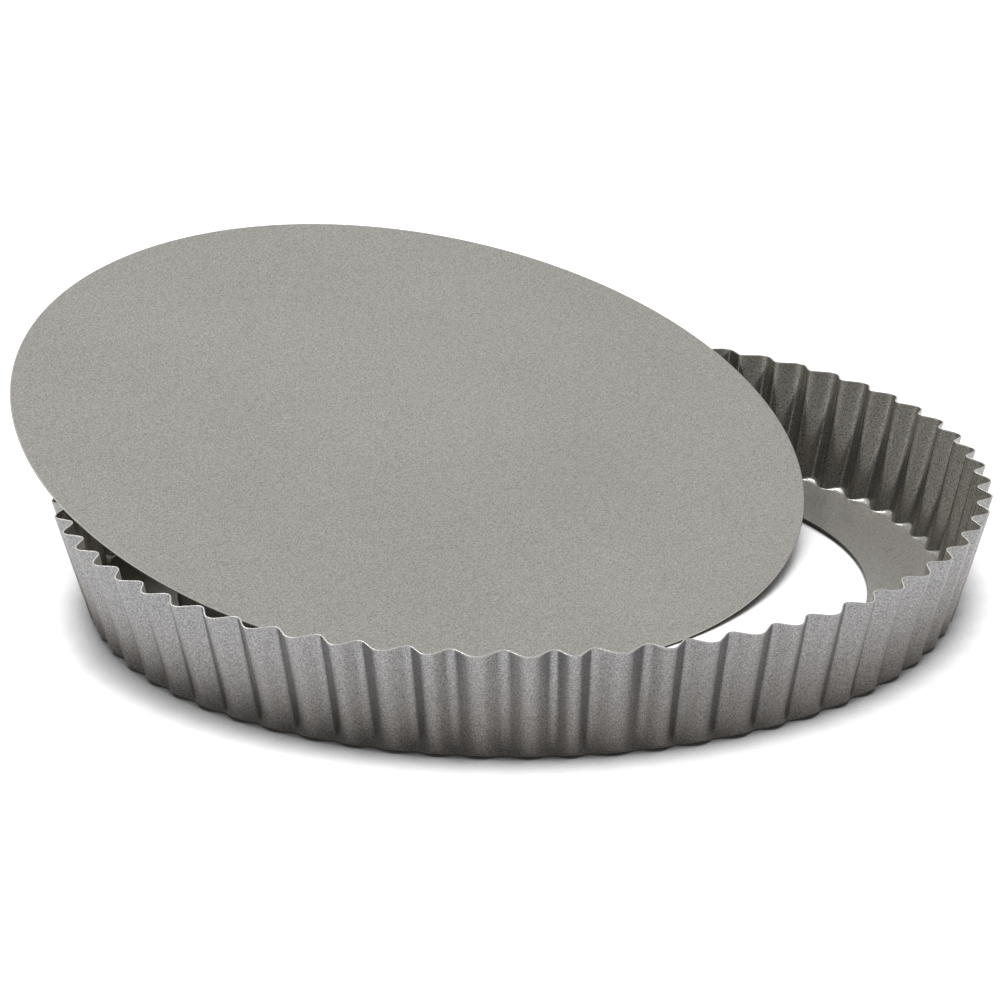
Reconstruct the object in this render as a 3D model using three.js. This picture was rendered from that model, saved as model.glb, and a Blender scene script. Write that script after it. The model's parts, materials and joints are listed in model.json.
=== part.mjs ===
// Loose-bottom tart pan: a fluted ring pressed from sheet, and a flat round base that lies loose.
// Millimetres, +Z up. The ring stands on z = 0 about the Z axis. The base leans on its rim,
// with its low edge down inside the ring towards -Y and its high side out over the rim at +Y.
import * as THREE from "three";

// Ring
const RIM_RADIUS = 140; // over the flutes, at the rim
const FOOT_RADIUS = 130; // over the flutes, where the wall's line meets the table
const RIM_HEIGHT = 35; // top of the inner ribs
const RING_SHEET = 0.5; // sheet thickness
const FLUTE_COUNT = 64;
const FLUTE_DEPTH_RIM = 4.2; // from outer lobe to inner rib
const FLUTE_DEPTH_FOOT = 1.7;
const LOBE_CURVE = 0.25; // bend radius of the outer lobes, in flute pitches
const RIB_CURVE = 0.11; // bend radius of the inner ribs, in flute pitches
const FOOT_BEND = 1.8; // bend from wall to ledge, on the middle of the sheet
const FOOT_FLAT = 7; // width of the flat that stands on the table
const LEDGE_WIDTH = 22.8; // from that bend to the edge of the hole
const LEDGE_RISE = 0.9; // how far the ledge climbs from the flat to the hole

// Base
const BASE_SHEET = 0.6;
const BASE_EDGE = 0.15; // small rounding of the cut edge
const BASE_SIDE_CLEARANCE = 4.7; // from the ribs at the foot of the wall to the seated base
const BASE_SEGMENTS = 160;

// Lean
const LEAN_FOOT = 63.5; // from the ring's axis to the base's low edge
const LEAN_CLEARANCE = 0.3; // between the base's underside and the rim
const TABLE_CLEARANCE = 0.3; // between the base's low edge and the table

// Finish
const BASE_FINISH = { color: 0xa6a39d, roughness: 0.5, metalness: 0.65 };
const RING_FINISH = { color: 0x8b8885, roughness: 0.5, metalness: 0.65 };

const flutePitch = (2 * Math.PI * RIM_RADIUS) / FLUTE_COUNT;
const halfPitch = flutePitch / 2;
const lobeRadius = LOBE_CURVE * flutePitch;
const ribRadius = RIB_CURVE * flutePitch;

// Slope of the straight flank that is tangent to the lobe's and the rib's bends.
const bendSum = lobeRadius + ribRadius;
const bendLeft = FLUTE_DEPTH_RIM - 2 * bendSum;
const flankRoot = Math.sqrt(halfPitch ** 2 + FLUTE_DEPTH_RIM * bendLeft);
const flankAngle = 2 * Math.atan((flankRoot - halfPitch) / bendLeft);
const lobeEnd = lobeRadius * Math.sin(flankAngle);
const ribEnd = halfPitch - ribRadius * Math.sin(flankAngle);

// Columns of one flute, from its rib over the lobe to the next rib, as distances from the lobe.
const lobeMid = lobeRadius * Math.sin(flankAngle / 2);
const fluteColumns = [-halfPitch, -ribEnd, -lobeEnd, -lobeMid, 0, lobeMid, lobeEnd, ribEnd];

// How far the flute lies inside its outer lobe at the rim, by the distance along the rim.
function fluteInset(along) {
  const x = Math.abs(along);
  if (x <= lobeEnd) {
    return lobeRadius - Math.sqrt(lobeRadius ** 2 - x ** 2);
  }
  if (x >= ribEnd) {
    const rest = Math.sqrt(ribRadius ** 2 - (halfPitch - x) ** 2);
    return FLUTE_DEPTH_RIM - ribRadius + rest;
  }
  return lobeRadius * (1 - Math.cos(flankAngle)) + (x - lobeEnd) * Math.tan(flankAngle);
}

// The middle of the sheet at the wall's two ends, and the length of wall between them.
const rimMiddle = RIM_RADIUS - RING_SHEET / 2;
const footMiddle = FOOT_RADIUS - RING_SHEET / 2;
const floorMiddle = RING_SHEET / 2;
const ribRun = rimMiddle - FLUTE_DEPTH_RIM - (footMiddle - FLUTE_DEPTH_FOOT);
const wallLength = Math.hypot(ribRun, RIM_HEIGHT - floorMiddle);
const holeRadius = footMiddle - FLUTE_DEPTH_FOOT - FOOT_BEND - LEDGE_WIDTH;

// The sheet's section at one place along the flute: radius, height and the way the section runs.
// It goes from the rim down the wall, round the bend, over the flat and up the ledge to the hole.
// The wall is as long everywhere, so a lobe that leans out further also ends a little lower.
function sheetSection(along) {
  const share = fluteInset(along) / FLUTE_DEPTH_RIM;
  const footR = footMiddle - share * FLUTE_DEPTH_FOOT;
  const rimR = rimMiddle - share * FLUTE_DEPTH_RIM;
  const lean = Math.asin((rimR - footR) / wallLength);
  const wallR = Math.sin(lean);
  const wallZ = Math.cos(lean);
  const turn = Math.PI / 2 - lean;
  const tangent = FOOT_BEND * Math.tan(turn / 2);
  const bendR = footR - tangent;
  const bendZ = floorMiddle + FOOT_BEND;
  const half = turn / 2;
  const flatEnd = footMiddle - FLUTE_DEPTH_FOOT - FOOT_BEND - FOOT_FLAT;
  const coneR = flatEnd - holeRadius;
  const coneLength = Math.hypot(coneR, LEDGE_RISE);
  return [
    { r: rimR, z: floorMiddle + wallLength * wallZ, dr: -wallR, dz: -wallZ },
    { r: footR + tangent * wallR, z: floorMiddle + tangent * wallZ, dr: -wallR, dz: -wallZ },
    {
      r: bendR + FOOT_BEND * Math.sin(half),
      z: bendZ - FOOT_BEND * Math.cos(half),
      dr: -Math.cos(half),
      dz: -Math.sin(half),
    },
    { r: bendR, z: floorMiddle, dr: -1, dz: 0 },
    { r: flatEnd, z: floorMiddle, dr: -1, dz: 0 },
    {
      r: holeRadius,
      z: floorMiddle + LEDGE_RISE,
      dr: -coneR / coneLength,
      dz: LEDGE_RISE / coneLength,
    },
  ];
}

// A point of the section turned to its flute. A lobe lies on -Y, where the base leans to.
function sheetPoint(flute, along, station) {
  const turns = (flute + along / flutePitch) / FLUTE_COUNT;
  const angle = 2 * Math.PI * turns - Math.PI / 2;
  return new THREE.Vector3(station.r * Math.cos(angle), station.r * Math.sin(angle), station.z);
}

// The sheet's outer and inner faces at one column, each as a row of points from rim to hole.
function sheetColumn(flute, along) {
  const step = 0.01;
  const here = sheetSection(along);
  const before = sheetSection(along - step);
  const after = sheetSection(along + step);
  const outer = [];
  const inner = [];
  here.forEach((station, i) => {
    const point = sheetPoint(flute, along, station);
    const across = sheetPoint(flute, along + step, after[i]).sub(sheetPoint(flute, along - step, before[i]));
    const tip = { r: station.r + station.dr, z: station.z + station.dz };
    const down = sheetPoint(flute, along, tip).sub(point);
    const normal = down.cross(across).normalize();
    outer.push(point.clone().addScaledVector(normal, RING_SHEET / 2));
    inner.push(point.clone().addScaledVector(normal, -RING_SHEET / 2));
  });
  return { outer, inner };
}

// The ring as one closed skin: each column runs down the outside and back up the inside.
function ringGeometry() {
  const loops = [];
  for (let flute = 0; flute < FLUTE_COUNT; flute += 1) {
    for (const along of fluteColumns) {
      const { outer, inner } = sheetColumn(flute, along);
      loops.push([...outer, ...inner.reverse()]);
    }
  }
  const rows = loops[0].length;
  const positions = loops.flat().flatMap((point) => point.toArray());
  const index = [];
  loops.forEach((loop, column) => {
    const next = ((column + 1) % loops.length) * rows;
    const first = column * rows;
    for (let row = 0; row < rows; row += 1) {
      const below = (row + 1) % rows;
      index.push(first + row, first + below, next + row);
      index.push(next + row, first + below, next + below);
    }
  });
  const geometry = new THREE.BufferGeometry();
  geometry.setAttribute("position", new THREE.Float32BufferAttribute(positions, 3));
  geometry.setIndex(index);
  geometry.computeVertexNormals();
  return geometry;
}

// The base drops onto the ledge inside the ribs at the foot of the wall.
const baseRadius = FOOT_RADIUS - FLUTE_DEPTH_FOOT - RING_SHEET - BASE_SIDE_CLEARANCE;

function baseGeometry() {
  const profile = [
    new THREE.Vector2(0, 0),
    new THREE.Vector2(baseRadius - BASE_EDGE, 0),
    new THREE.Vector2(baseRadius, BASE_EDGE),
    new THREE.Vector2(baseRadius, BASE_SHEET - BASE_EDGE),
    new THREE.Vector2(baseRadius - BASE_EDGE, BASE_SHEET),
    new THREE.Vector2(0, BASE_SHEET),
  ];
  return new THREE.LatheGeometry(profile, BASE_SEGMENTS).rotateX(Math.PI / 2);
}

// Gap between the rim and the underside of a base that leans by this angle.
function leanGap(tilt, rim) {
  const low = new THREE.Vector3(0, -LEAN_FOOT, TABLE_CLEARANCE);
  const up = new THREE.Vector3(0, Math.cos(tilt), Math.sin(tilt));
  const normal = new THREE.Vector3(0, -Math.sin(tilt), Math.cos(tilt));
  let least = Infinity;
  for (const point of rim) {
    const away = point.clone().sub(low);
    const reach = Math.hypot(away.dot(up) - baseRadius, away.x);
    if (reach < baseRadius + LEAN_CLEARANCE) {
      least = Math.min(least, -away.dot(normal));
    }
  }
  return least;
}

// The angle at which the base, standing on its low edge, comes to rest on the rim.
function restingTilt() {
  const rim = [];
  const stepsPerFlute = 32;
  for (let flute = 0; flute < FLUTE_COUNT; flute += 1) {
    for (let i = 0; i < stepsPerFlute; i += 1) {
      const { outer, inner } = sheetColumn(flute, (i / stepsPerFlute - 0.5) * flutePitch);
      rim.push(outer[0], inner[0]);
    }
  }
  let low = 0;
  let high = Math.PI / 3;
  for (let i = 0; i < 40; i += 1) {
    const middle = (low + high) / 2;
    if (leanGap(middle, rim) < LEAN_CLEARANCE) {
      low = middle;
    } else {
      high = middle;
    }
  }
  return high;
}

const baseTilt = restingTilt();

const ring = new THREE.Mesh(ringGeometry(), new THREE.MeshStandardMaterial(RING_FINISH));
ring.name = "fluted_ring";

const base = new THREE.Mesh(baseGeometry(), new THREE.MeshStandardMaterial(BASE_FINISH));
base.name = "loose_base";
base.position.y = baseRadius;

const lean = new THREE.Group();
lean.position.set(0, -LEAN_FOOT, TABLE_CLEARANCE);
lean.rotation.x = baseTilt;
lean.add(base);

const pan = new THREE.Group();
pan.add(ring, lean);

export default pan;
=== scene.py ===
import json
import math
import random

import bpy
import numpy as np
from mathutils import Matrix, Vector


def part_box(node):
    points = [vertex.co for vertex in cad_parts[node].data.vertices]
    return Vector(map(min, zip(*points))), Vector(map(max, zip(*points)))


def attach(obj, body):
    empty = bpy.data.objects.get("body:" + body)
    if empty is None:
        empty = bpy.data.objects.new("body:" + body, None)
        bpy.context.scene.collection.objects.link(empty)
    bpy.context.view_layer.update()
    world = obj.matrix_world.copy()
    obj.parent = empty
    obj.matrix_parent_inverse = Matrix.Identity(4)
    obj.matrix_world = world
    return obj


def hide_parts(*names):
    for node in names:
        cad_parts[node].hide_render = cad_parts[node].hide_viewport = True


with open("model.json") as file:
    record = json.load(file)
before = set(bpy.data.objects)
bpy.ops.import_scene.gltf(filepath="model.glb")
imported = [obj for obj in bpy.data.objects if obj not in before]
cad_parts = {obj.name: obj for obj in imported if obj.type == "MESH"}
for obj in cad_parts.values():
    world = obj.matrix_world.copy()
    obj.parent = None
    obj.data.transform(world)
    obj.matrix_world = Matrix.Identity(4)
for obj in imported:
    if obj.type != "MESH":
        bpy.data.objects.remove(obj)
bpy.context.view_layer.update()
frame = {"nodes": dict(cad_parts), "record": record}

mounts = {mount["name"]: mount for mount in frame["record"]["mounts"]}
print("frame loaded:", sorted(frame["nodes"]))


cameraView = {
    "azimuth": -38.64,     # degrees round the ring's axis, 0 looks along +Y
    "distance": 1.3344,    # from the ring's axis, level
    "height": 0.5215,      # above the table
    "pitch": 20.283,       # looking down
    "yaw": -0.283,
    "roll": -0.392,
    "lens": 171.36,        # both in millimetres
    "sensorWidth": 36.0,
    "clipEnd": 50.0,
}


def makeCamera(view):
    yaw, pitch, roll = (math.radians(view[key]) for key in ("yaw", "pitch", "roll"))
    ahead = Vector((math.sin(yaw) * math.cos(pitch), math.cos(yaw) * math.cos(pitch), -math.sin(pitch)))
    level = Vector((math.cos(yaw), -math.sin(yaw), 0.0))
    upright = level.cross(ahead)
    across = level * math.cos(roll) + upright * math.sin(roll)
    upward = upright * math.cos(roll) - level * math.sin(roll)
    turn = Matrix.Rotation(math.radians(view["azimuth"]), 4, "Z")
    pose = Matrix((across, upward, -ahead)).transposed().to_4x4()
    pose.translation = Vector((0.0, -view["distance"], view["height"]))
    data = bpy.data.cameras.new("panCamera")
    data.sensor_fit = "HORIZONTAL"
    data.sensor_width = view["sensorWidth"]
    data.lens = view["lens"]
    data.clip_end = view["clipEnd"]
    camera = bpy.data.objects.new("panCamera", data)
    camera.matrix_world = turn @ pose
    bpy.context.scene.collection.objects.link(camera)
    bpy.context.scene.camera = camera


makeCamera(cameraView)
print("camera set")


# nodes that the coatings, the table and the sky share
def rescale(tree, value, reach, levels):
    node = tree.nodes.new("ShaderNodeMapRange")
    node.inputs["From Min"].default_value, node.inputs["From Max"].default_value = reach
    node.inputs["To Min"].default_value, node.inputs["To Max"].default_value = levels
    tree.links.new(value, node.inputs["Value"])
    return node.outputs["Result"]


def betweenColours(tree, value, first, second, places=(0.0, 1.0)):
    node = tree.nodes.new("ShaderNodeValToRGB")
    for element, place, colour in zip(node.color_ramp.elements, places, (first, second)):
        element.position = place
        element.color = (*colour, 1.0)
    tree.links.new(value, node.inputs["Fac"])
    return node.outputs["Color"]


def combine(tree, operation, first, second):
    node = tree.nodes.new("ShaderNodeMath")
    node.operation = operation
    tree.links.new(first, node.inputs[0])
    tree.links.new(second, node.inputs[1])
    return node.outputs[0]


# a level that changes as a place or a direction lies further towards one side
def towards(tree, way, side, reach, levels):
    node = tree.nodes.new("ShaderNodeVectorMath")
    node.operation = "DOT_PRODUCT"
    node.inputs[1].default_value = side
    tree.links.new(way, node.inputs[0])
    return rescale(tree, node.outputs["Value"], reach, levels)


# one grey coating in five tones, and two kinds of cut edge: bare steel, and a dark one at the hole that
# is painted shade
baseCoat = {
    "light": (0.515, 0.496, 0.457),
    "dark": (0.271, 0.261, 0.240),
    "metallic": 0.85,
    "roughness": (0.30, 0.44),       # of the light grains and of the dark ones
    "grain": 2300.0,                 # speckles per metre
    "grainDetail": (2.0, 0.6),       # octaves, and how much the finer ones count
    "grainPlaces": (0.34, 0.66),     # where in the noise the dark and the light grains lie
    "grainDepth": 0.00002,
    "bump": 0.6,
    "cloud": 14.0,                   # slow drift of tone over the sheet, per metre
    "cloudDetail": (3.0, 0.5),
    "cloudTone": (0.96, 1.04),
    "noiseReach": (0.3, 0.7),        # most of a noise lies between these
}

insideCoat = {
    **baseCoat,
    "light": (0.515, 0.491, 0.445),
    "dark": (0.204, 0.195, 0.174),
    "roughness": (0.18, 0.30),
}

ledgeCoat = {
    **baseCoat,
    "light": (0.53, 0.511, 0.469),
    "dark": (0.11, 0.106, 0.097),
    "metallic": 0.45,
    "roughness": (0.24, 0.38),
}

pocketCoat = {
    **baseCoat,
    "light": (0.48, 0.463, 0.428),
    "dark": (0.20, 0.193, 0.178),
    "metallic": 0.6,
    "roughness": (0.15, 0.26),
}

outsideCoat = {
    **baseCoat,
    "light": (0.400, 0.402, 0.412),
    "dark": (0.190, 0.191, 0.195),
    "metallic": 1.0,
    "roughness": (0.20, 0.32),
}

cutEdge = {
    **baseCoat,
    "light": (0.68, 0.663, 0.642),
    "dark": (0.545, 0.532, 0.51),
    "metallic": 1.0,
    "roughness": (0.34, 0.46),
}

# painted shade: the hole's cut edge is coloured near black for the shadow in the gap under the ledge's
# edge
paintedShadeEdge = {
    **baseCoat,
    "light": (0.10, 0.097, 0.09),
    "dark": (0.05, 0.048, 0.045),
    "metallic": 0.5,
}


def coatMaterial(name, coat):
    material = bpy.data.materials.new(name)
    material.use_nodes = True
    tree = material.node_tree
    shader = tree.nodes["Principled BSDF"]
    shader.inputs["Metallic"].default_value = coat["metallic"]
    place = tree.nodes.new("ShaderNodeTexCoord")

    def noise(scale, detail, roughness):
        node = tree.nodes.new("ShaderNodeTexNoise")
        node.inputs["Scale"].default_value = scale
        node.inputs["Detail"].default_value = detail
        node.inputs["Roughness"].default_value = roughness
        tree.links.new(place.outputs["Object"], node.inputs["Vector"])
        return node.outputs["Fac"]

    grain = noise(coat["grain"], *coat["grainDetail"])
    cloud = noise(coat["cloud"], *coat["cloudDetail"])

    # metal flakes: mostly mid grey with some light and dark grains
    flakes = betweenColours(tree, grain, coat["dark"], coat["light"], coat["grainPlaces"])
    toned = tree.nodes.new("ShaderNodeVectorMath")
    toned.operation = "SCALE"
    tree.links.new(flakes, toned.inputs[0])
    tree.links.new(rescale(tree, cloud, coat["noiseReach"], coat["cloudTone"]), toned.inputs["Scale"])
    tree.links.new(toned.outputs["Vector"], shader.inputs["Base Color"])

    smooth, rough = coat["roughness"]
    gloss = rescale(tree, grain, coat["noiseReach"], (rough, smooth))
    tree.links.new(gloss, shader.inputs["Roughness"])

    bump = tree.nodes.new("ShaderNodeBump")
    bump.inputs["Strength"].default_value = coat["bump"]
    bump.inputs["Distance"].default_value = coat["grainDepth"]
    tree.links.new(grain, bump.inputs["Height"])
    tree.links.new(bump.outputs["Normal"], shader.inputs["Normal"])
    return material


coats = {
    "base": coatMaterial("warmGreyBaseCoat", baseCoat),
    "inside": coatMaterial("warmGreyInsideCoat", insideCoat),
    "ledge": coatMaterial("warmGreyLedgeCoat", ledgeCoat),
    "pocket": coatMaterial("warmGreyPocketCoat", pocketCoat),
    "outside": coatMaterial("greyOutsideCoat", outsideCoat),
    "edge": coatMaterial("bareCutEdge", cutEdge),
    # the hole's cut edge carries painted shade, not the coating's own colour
    "holeEdge": coatMaterial("paintedShadeHoleEdge", paintedShadeEdge),
}
print("coatings made:", len(coats))


# a smooth mesh piece, with the name of a coat for each face
def addPiece(name, points, faces, faceCoats, body, node):
    finishes = list(dict.fromkeys(faceCoats))
    mesh = bpy.data.meshes.new(name)
    mesh.from_pydata([tuple(point) for point in points], [], faces)
    for finish in finishes:
        mesh.materials.append(coats[finish])
    mesh.polygons.foreach_set("material_index", [finishes.index(coat) for coat in faceCoats])
    mesh.polygons.foreach_set("use_smooth", [True] * len(faces))
    mesh.update()
    piece = bpy.data.objects.new(name, mesh)
    bpy.context.scene.collection.objects.link(piece)
    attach(piece, body)
    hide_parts(node)
    return piece


ringShape = {
    "rimRadius": 0.140,
    "rimHeight": 0.035,             # top of the inner ribs
    "footRadius": 0.130,
    "sheet": 0.0005,
    "flutes": 64,
    "depthRim": 0.0042,             # lobe to rib at the rim
    "depthFoot": 0.0024,            # and at the foot
    "lobeCurve": 0.25,              # bend radii in flute pitches
    "ribCurve": 0.18,
    "footBend": (0.0008, 0.0006),   # bend from wall to ledge, in the lobes and at the ribs
    "pocketBend": 0.006,            # how much wider it is in the pocket at the foot of each lobe
    "pocketSlope": (31.0, 13.0),    # where on the bend the pocket lies, and its spread, in degrees
    "pocketFade": 1.5,              # how soon the pocket ends towards the ribs
    "flatRadius": 0.11925,          # inner end of the flat that stands on the table
    "holeRadius": 0.10345,
    "ledgeRise": 0.0009,
    "edgeRound": 0.00015,           # how far the cut edges bulge
    "edgeTurns": (40, 90, 140),     # rows round a cut edge, in degrees
    "stepsPerFlute": 20,
    "wallRows": 12,
    "rimRow": 0.012,                # one more row close to the rim, as a share of the wall
    "bendRows": 10,
    "bendSteps": 8,                 # steps of the bend's curve to a row
    "ledgeRows": 5,
    "holeRow": 0.985,               # the row next to the hole, as a share of the ledge
    "unevenDepth": 0.05,            # share by which the pressing varies
    "unevenWaves": 12,
    "waveRange": (3, 40),           # waves round the ring
    "seed": 7,
    "ribDrift": [                   # how far each rib lies off an even spacing, both in degrees
        (-199.7, 1.4), (-194.1, 1.5), (-188.4, 1.7), (-182.8, 1.8), (-177.2, 1.5), (-171.6, 1.6),
        (-165.9, 1.6), (-160.3, 1.6), (-154.7, 1.7), (-149.1, 1.2), (-143.4, 1.5), (-137.8, 0.85),
        (-132.2, 1.4), (-126.6, 1.6), (-120.9, 0.45), (-115.3, 1.25), (-109.7, 0.4), (-104.1, 0.3),
        (-98.4, 0.45), (-92.8, -0.2), (-87.2, 0.1), (-81.6, -0.2), (-75.9, -0.3), (-70.3, 0.0),
        (-36.6, 0.0), (30.9, 0.3), (98.4, 1.0),
    ],
}


def wander(angles, shape):
    pick = random.Random(shape["seed"])
    count = shape["unevenWaves"]
    total = np.zeros_like(angles)
    for _ in range(count):
        waves = pick.randint(*shape["waveRange"])
        total += math.sqrt(2.0 / count) * np.cos(waves * angles + pick.uniform(0.0, 2.0 * math.pi))
    return total


# how far the flute lies inside its lobe: round lobe, straight flank, round rib
def fluteInset(along, shape, pitch):
    half = pitch / 2
    lobe = shape["lobeCurve"] * pitch
    rib = shape["ribCurve"] * pitch
    depth = shape["depthRim"]
    left = depth - 2 * (lobe + rib)
    flank = 2 * math.atan((math.sqrt(half ** 2 + depth * left) - half) / left)
    lobeEnd = lobe * math.sin(flank)
    ribEnd = half - rib * math.sin(flank)
    x = np.abs(along)
    onFlank = lobe * (1 - math.cos(flank)) + (x - lobeEnd) * math.tan(flank)
    onLobe = lobe - np.sqrt(np.maximum(lobe ** 2 - x ** 2, 0.0))
    onRib = depth - rib + np.sqrt(np.maximum(rib ** 2 - (half - x) ** 2, 0.0))
    return np.where(x <= lobeEnd, onLobe, np.where(x >= ribEnd, onRib, onFlank))


# the columns round the ring: angle, flute depth and share of the way from lobe to rib
def ringColumns(shape):
    pitch = 2 * math.pi * shape["rimRadius"] / shape["flutes"]
    steps = shape["stepsPerFlute"]
    flute = np.repeat(np.arange(shape["flutes"]), steps)
    along = np.tile((np.arange(steps) / steps - 0.5) * pitch, shape["flutes"])
    even = 2 * math.pi * (flute + along / pitch) / shape["flutes"] - math.pi / 2

    # the pressing is never quite even, least of all at the front
    ribs, drift = zip(*shape["ribDrift"])
    angle = even + np.radians(np.interp(np.degrees(even), ribs, drift, period=360.0))
    lost = 0.5 + 0.5 * np.tanh(wander(even, shape))
    depth = shape["depthRim"] * (1 - shape["unevenDepth"] * lost)
    return angle, depth, fluteInset(along, shape, pitch) / shape["depthRim"]


# the middle of the sheet from the rim to the hole: radius, height and the way the sheet runs
def ringStations(shape, depth, share):
    rimMiddle = shape["rimRadius"] - shape["sheet"] / 2
    footMiddle = shape["footRadius"] - shape["sheet"] / 2
    floor = shape["sheet"] / 2
    ribRun = rimMiddle - shape["depthRim"] - (footMiddle - shape["depthFoot"])
    wall = math.hypot(ribRun, shape["rimHeight"] - floor)
    footR = footMiddle - share * shape["depthFoot"]
    rimR = rimMiddle - share * depth
    lean = np.arcsin((rimR - footR) / wall)
    turn = math.pi / 2 - lean

    # the foot's bend opens into a shallow pocket in each lobe
    bendRows = shape["bendRows"]
    steps = shape["bendSteps"] * bendRows
    slope = turn * (np.arange(steps) + 0.5)[:, None] / steps
    lobeFoot, ribFoot = shape["footBend"]
    middle, spread = shape["pocketSlope"]
    onBend = np.exp(-((np.degrees(slope) - middle) / spread) ** 2)
    pocket = shape["pocketBend"] * (1 - share) ** shape["pocketFade"] * onBend
    curve = lobeFoot + (ribFoot - lobeFoot) * share + pocket
    start = np.zeros_like(turn)
    bendOut = np.vstack([start, np.cumsum(curve * np.cos(slope) * turn / steps, axis=0)])
    bendUp = np.vstack([start, np.cumsum(curve * np.sin(slope) * turn / steps, axis=0)])
    bendR = footR + bendUp[-1] * np.tan(lean) - bendOut[-1]

    stations = []
    top = wall - shape["edgeRound"]
    wallFoot = bendUp[-1] / np.cos(lean)
    wallRows = shape["wallRows"]
    for part in [0.0, shape["rimRow"]] + [(i + 1) / wallRows for i in range(wallRows)]:
        length = top + (wallFoot - top) * part
        wallR = footR + length * np.sin(lean)
        stations.append((wallR, floor + length * np.cos(lean), -np.sin(lean), -np.cos(lean)))
    for i in range(1, bendRows + 1):
        step = shape["bendSteps"] * (bendRows - i)
        bend = turn * step / steps
        stations.append((bendR + bendOut[step], floor + bendUp[step], -np.cos(bend), -np.sin(bend)))

    level = np.zeros_like(share)
    flatEnd, rise = shape["flatRadius"], shape["ledgeRise"]
    stations.append((level + flatEnd, level + floor, level - 1.0, level))
    coneRun = flatEnd - shape["holeRadius"] - shape["edgeRound"]
    cone = math.atan2(rise, coneRun)
    ledgeRows = shape["ledgeRows"]
    for i in range(1, ledgeRows + 1):
        part = shape["holeRow"] if i == ledgeRows - 1 else i / ledgeRows
        ledgeR = level + flatEnd - coneRun * part
        ledgeZ = level + floor + rise * part
        stations.append((ledgeR, ledgeZ, level - math.cos(cone), level + math.sin(cone)))
    return stations


def makeRing(shape):
    sheet = shape["sheet"]
    angle, depth, share = ringColumns(shape)
    outer, inner, normals, downs = [], [], [], []
    for r, z, dr, dz in ringStations(shape, depth, share):
        point = np.stack([r * np.cos(angle), r * np.sin(angle), z], axis=1)
        across = np.roll(point, -1, axis=0) - np.roll(point, 1, axis=0)
        down = np.stack([dr * np.cos(angle), dr * np.sin(angle), dz], axis=1)
        normal = np.cross(down, across)
        normal /= np.linalg.norm(normal, axis=1, keepdims=True)
        outer.append(point + normal * sheet / 2)
        inner.append(point - normal * sheet / 2)
        normals.append(normal)
        downs.append(down)

    def roundEdge(station, bulge):
        middle = (outer[station] + inner[station]) / 2
        rows = []
        for bend in map(math.radians, shape["edgeTurns"]):
            side = normals[station] * (sheet / 2) * math.cos(bend)
            rows.append(middle + side + downs[station] * bulge * math.sin(bend))
        return rows

    # each column runs down the outside, round the hole's edge, up the inside and over the rim,
    # and on the inside the flat and the start of the bend are coated as the ledge is; the hole's edge is
    # painted dark as painted shade
    holeEdge = roundEdge(-1, shape["edgeRound"])
    rimEdge = roundEdge(0, -shape["edgeRound"])[::-1]
    rows = outer + holeEdge + inner[::-1] + rimEdge
    rowCoats = ["outside"] * (len(outer) - 1) + ["holeEdge"] * (len(holeEdge) + 1)
    rowCoats += ["ledge"] * (shape["ledgeRows"] + 2) + ["pocket"] * (shape["bendRows"] - 1)
    rowCoats += ["inside"] * (shape["wallRows"] + 1) + ["edge"] * (len(rimEdge) + 1)
    points = np.stack(rows, axis=1).reshape(-1, 3)
    columns = len(angle)
    count = len(rows)
    faces, faceCoats = [], []
    for column in range(columns):
        here = column * count
        there = ((column + 1) % columns) * count
        for row, coat in enumerate(rowCoats):
            below = (row + 1) % count
            faces.append((here + row, here + below, there + below, there + row))
            faceCoats.append(coat)
    return addPiece("flutedRingSkin", points, faces, faceCoats, "ring", "fluted_ring")


ring = makeRing(ringShape)
print("ring made")


baseLow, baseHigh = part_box("loose_base")

baseShape = {
    "radius": (baseHigh.x - baseLow.x) / 2,
    "sheet": 0.0006,
    "edgeRound": 0.00028,
    "edgeTurns": (30, 60, 90),      # rows round half of the cut edge, in degrees
    "segments": 384,
    "rings": (0.12, 0.3, 0.5, 0.7, 0.85, 0.94, 0.985, 0.998),   # shares of the radius
    "bow": 0.00008,                 # the sheet is a little dished
    "centre": Vector(mounts["base_face"]["pos_m"]),
    "up": Vector(mounts["base_face"]["axis"]),
}


def makeBase(shape):
    sheet, edge, bow = shape["sheet"], shape["edgeRound"], shape["bow"]
    flat = shape["radius"] - edge

    # half a section from the middle of the upper face round the edge to the middle of the lower one
    face = [(flat * share, -bow * (1 - share ** 2)) for share in shape["rings"]]
    profile = list(face) + [(flat, 0.0)]
    for turn in map(math.radians, shape["edgeTurns"]):
        profile.append((flat + edge * math.sin(turn), -edge * (1 - math.cos(turn))))
    lower = [(r, -sheet - z) for r, z in profile[len(face):][::-1]]
    rowCoats = ["base"] * len(face) + ["edge"] * (2 * len(lower) - 1) + ["base"] * len(face)
    profile += lower + [(r, z - sheet) for r, z in face[::-1]]

    place = shape["up"].to_track_quat("Z", "Y").to_matrix().to_4x4()
    place.translation = shape["centre"]
    points = [place @ Vector((0.0, 0.0, -bow)), place @ Vector((0.0, 0.0, -sheet - bow))]
    first = len(points)
    count = shape["segments"]
    for r, z in profile:
        for i in range(count):
            turn = 2 * math.pi * i / count
            points.append(place @ Vector((r * math.cos(turn), r * math.sin(turn), z)))
    faces, faceCoats = [], []
    last = first + (len(profile) - 1) * count
    for i in range(count):
        after = (i + 1) % count
        faces.append((0, first + i, first + after))
        faces.append((1, last + after, last + i))
        faceCoats += ["base", "base"]
        for row, coat in enumerate(rowCoats):
            here = first + row * count
            there = here + count
            faces.append((here + i, there + i, there + after, here + after))
            faceCoats.append(coat)
    return addPiece("looseBaseSkin", points, faces, faceCoats, "base", "loose_base")


makeBase(baseShape)
print("base made")


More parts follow.
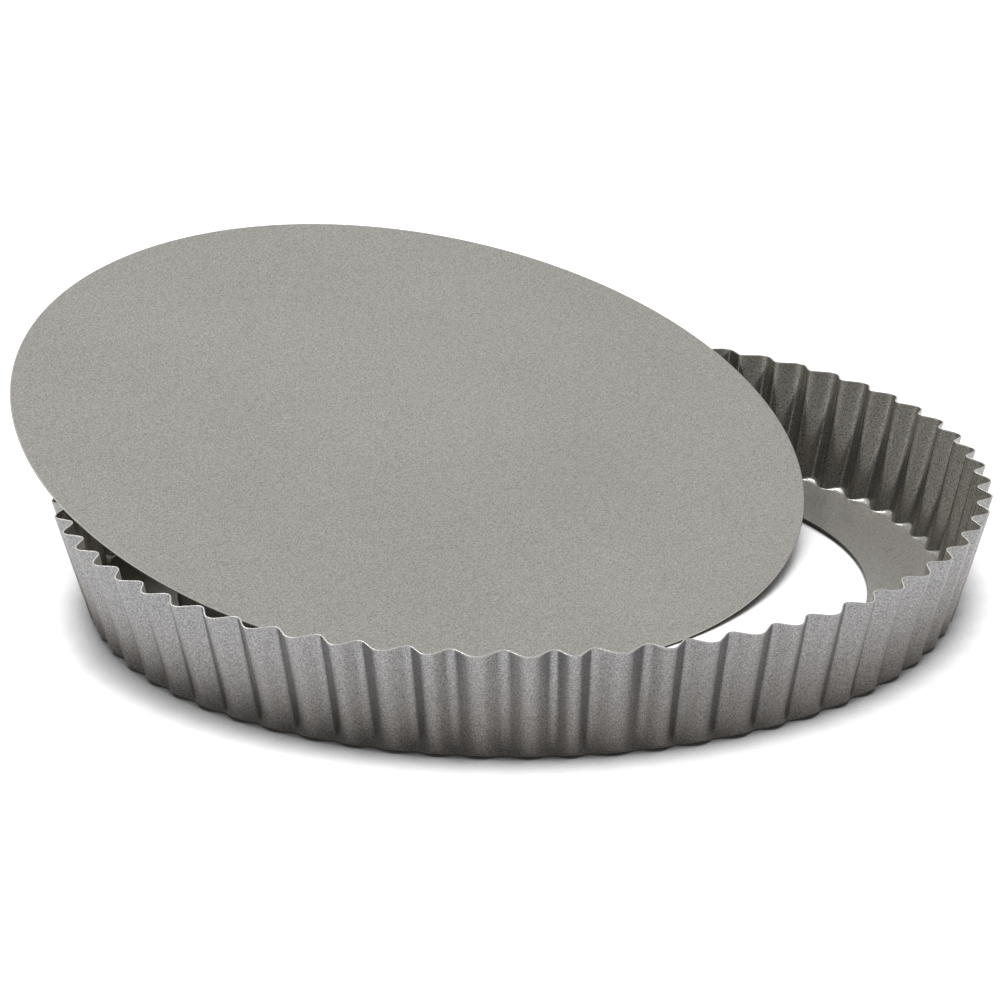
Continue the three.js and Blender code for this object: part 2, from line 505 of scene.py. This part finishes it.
tableLook = {
    "size": 12.0,
    "drop": 0.0002,                         # keeps it clear of the ring's foot
    "colour": (0.45, 0.45, 0.45),
    "shadeReach": 0.060,                    # it is lifted to white, except this close to the pan
    "shadeSamples": 12,
    "shadeRange": (0.34, 0.687),            # from closed in to open enough
    "lightSide": (-0.575, 0.818, 0.0),      # towards this side the shade is narrower
    "lightRange": (0.104, 0.134),
    "lightEnd": 0.43,                       # what is open enough there
    "mirrorColour": (0.325, 0.30, 0.28),    # the same table as the metal mirrors it
    "mirrorRange": (0.45, 0.83),
    "leastMirror": 0.11,                    # share of the lift that is left where it is closed in
    "closedTint": (1.0, 0.90, 0.80),        # and the lift's colour there
    "openTint": (1.0, 1.0, 1.0),
    "cornerSide": (0.11, -0.99, 0.0),       # towards this side the mirrored shade reaches further out
    "cornerRange": (0.115, 0.145),
    "cornerShade": 0.055,
}


def makeTable(look):
    half = look["size"] / 2
    corners = [(-half, -half, 0.0), (half, -half, 0.0), (half, half, 0.0), (-half, half, 0.0)]
    mesh = bpy.data.meshes.new("table")
    mesh.from_pydata(corners, [], [(0, 1, 2, 3)])
    table = bpy.data.objects.new("table", mesh)
    bpy.context.scene.collection.objects.link(table)
    table.location.z = -look["drop"]

    material = bpy.data.materials.new("paleTable")
    material.use_nodes = True
    tree = material.node_tree
    tree.nodes.clear()
    rays = tree.nodes.new("ShaderNodeLightPath").outputs
    viewed = rays["Is Camera Ray"]
    mirrored = combine(tree, "MAXIMUM", rays["Is Glossy Ray"], rays["Is Transmission Ray"])
    matt = tree.nodes.new("ShaderNodeBsdfDiffuse")
    tone = betweenColours(tree, mirrored, look["colour"], look["mirrorColour"])
    tree.links.new(tone, matt.inputs["Color"])

    # the lift to white keeps clear of the pan's own shade
    shade = tree.nodes.new("ShaderNodeAmbientOcclusion")
    shade.samples = look["shadeSamples"]
    shade.inputs["Distance"].default_value = look["shadeReach"]
    place = tree.nodes.new("ShaderNodeTexCoord").outputs["Object"]
    corner = towards(tree, place, look["cornerSide"], look["cornerRange"], (0.0, look["cornerShade"]))
    enough = (look["shadeRange"][1], look["lightEnd"])
    shadeEnd = towards(tree, place, look["lightSide"], look["lightRange"], enough)
    openView = rescale(tree, shade.outputs["AO"], look["shadeRange"], (0.0, 1.0))
    tree.links.new(shadeEnd, openView.node.inputs["From Max"])
    openMirror = combine(tree, "SUBTRACT", shade.outputs["AO"], corner)
    openMirror = rescale(tree, openMirror, look["mirrorRange"], (look["leastMirror"], 1.0))
    inView = combine(tree, "MULTIPLY", openView, viewed)
    inMirror = combine(tree, "MULTIPLY", openMirror, mirrored)
    lift = tree.nodes.new("ShaderNodeEmission")
    tree.links.new(combine(tree, "MAXIMUM", inView, inMirror), lift.inputs["Strength"])
    untinted = combine(tree, "MAXIMUM", openMirror, viewed)
    tint = betweenColours(tree, untinted, look["closedTint"], look["openTint"])
    tree.links.new(tint, lift.inputs["Color"])

    both = tree.nodes.new("ShaderNodeAddShader")
    tree.links.new(matt.outputs[0], both.inputs[0])
    tree.links.new(lift.outputs[0], both.inputs[1])
    out = tree.nodes.new("ShaderNodeOutputMaterial")
    tree.links.new(both.outputs[0], out.inputs["Surface"])
    mesh.materials.append(material)
    return table


skyLook = {
    "level": 0.15,
    "roomLevel": (0.27, 1.00),              # what the metal mirrors in front and behind
    "roomBehind": (0.02, 0.75, 0.66),
    "roomRange": (-0.5, 0.9),
    "flagSide": (-0.52, 0.854, 0.05),       # a dark flag stands here, out of the picture
    "flagRange": (0.788, 0.94),
    "flagLevel": 0.20,
}


# white for the camera, a room that is bright behind the pan for shiny surfaces, dim for the light itself
def makeSky(look):
    world = bpy.data.worlds.new("studio")
    world.use_nodes = True
    tree = world.node_tree
    background = tree.nodes["Background"]
    background.inputs["Color"].default_value = (1.0, 1.0, 1.0, 1.0)
    way = tree.nodes.new("ShaderNodeTexCoord").outputs["Generated"]
    room = towards(tree, way, look["roomBehind"], look["roomRange"], look["roomLevel"])
    flag = towards(tree, way, look["flagSide"], look["flagRange"], (1.0, look["flagLevel"]))
    rays = tree.nodes.new("ShaderNodeLightPath").outputs
    shiny = combine(tree, "MAXIMUM", rays["Is Glossy Ray"], rays["Is Transmission Ray"])
    mirrored = combine(tree, "MULTIPLY", shiny, combine(tree, "MULTIPLY", room, flag))
    level = tree.nodes.new("ShaderNodeMath")
    level.operation = "MAXIMUM"
    level.inputs[1].default_value = look["level"]
    tree.links.new(combine(tree, "MAXIMUM", mirrored, rays["Is Camera Ray"]), level.inputs[0])
    tree.links.new(level.outputs[0], background.inputs["Strength"])
    bpy.context.scene.world = world


lampLook = {
    "keySoftbox": {
        "place": (0.01, -0.39, 1.55),
        "aim": (0.0, 0.0, 0.02),
        "size": 0.5,
        "watts": 18.0,
        "mirrored": False,
    },
    "backCard": {
        "place": (0.029, 0.888, 1.204),
        "aim": (0.12, 0.0, 0.0),
        "size": 0.44,
        "watts": 4.5,
        "mirrored": True,
    },
}


# a lamp that the metal mirrors is kept off the flat base, which would show it as a white patch
def makeLamps(look, mirroring):
    for name, setting in look.items():
        data = bpy.data.lights.new(name, "AREA")
        data.shape = "SQUARE"
        data.size = setting["size"]
        data.energy = setting["watts"]
        lamp = bpy.data.objects.new(name, data)
        place = Vector(setting["place"])
        lamp.location = place
        lamp.rotation_euler = (Vector(setting["aim"]) - place).to_track_quat("-Z", "Y").to_euler()
        lamp.visible_glossy = setting["mirrored"]
        if setting["mirrored"]:
            group = bpy.data.collections.new(name + "Receivers")
            for piece in mirroring:
                group.objects.link(piece)
            lamp.light_linking.receiver_collection = group
        bpy.context.scene.collection.objects.link(lamp)


table = makeTable(tableLook)
makeSky(skyLook)
makeLamps(lampLook, [ring, table])
bpy.context.scene.view_settings.view_transform = "Standard"
print("stage lit")
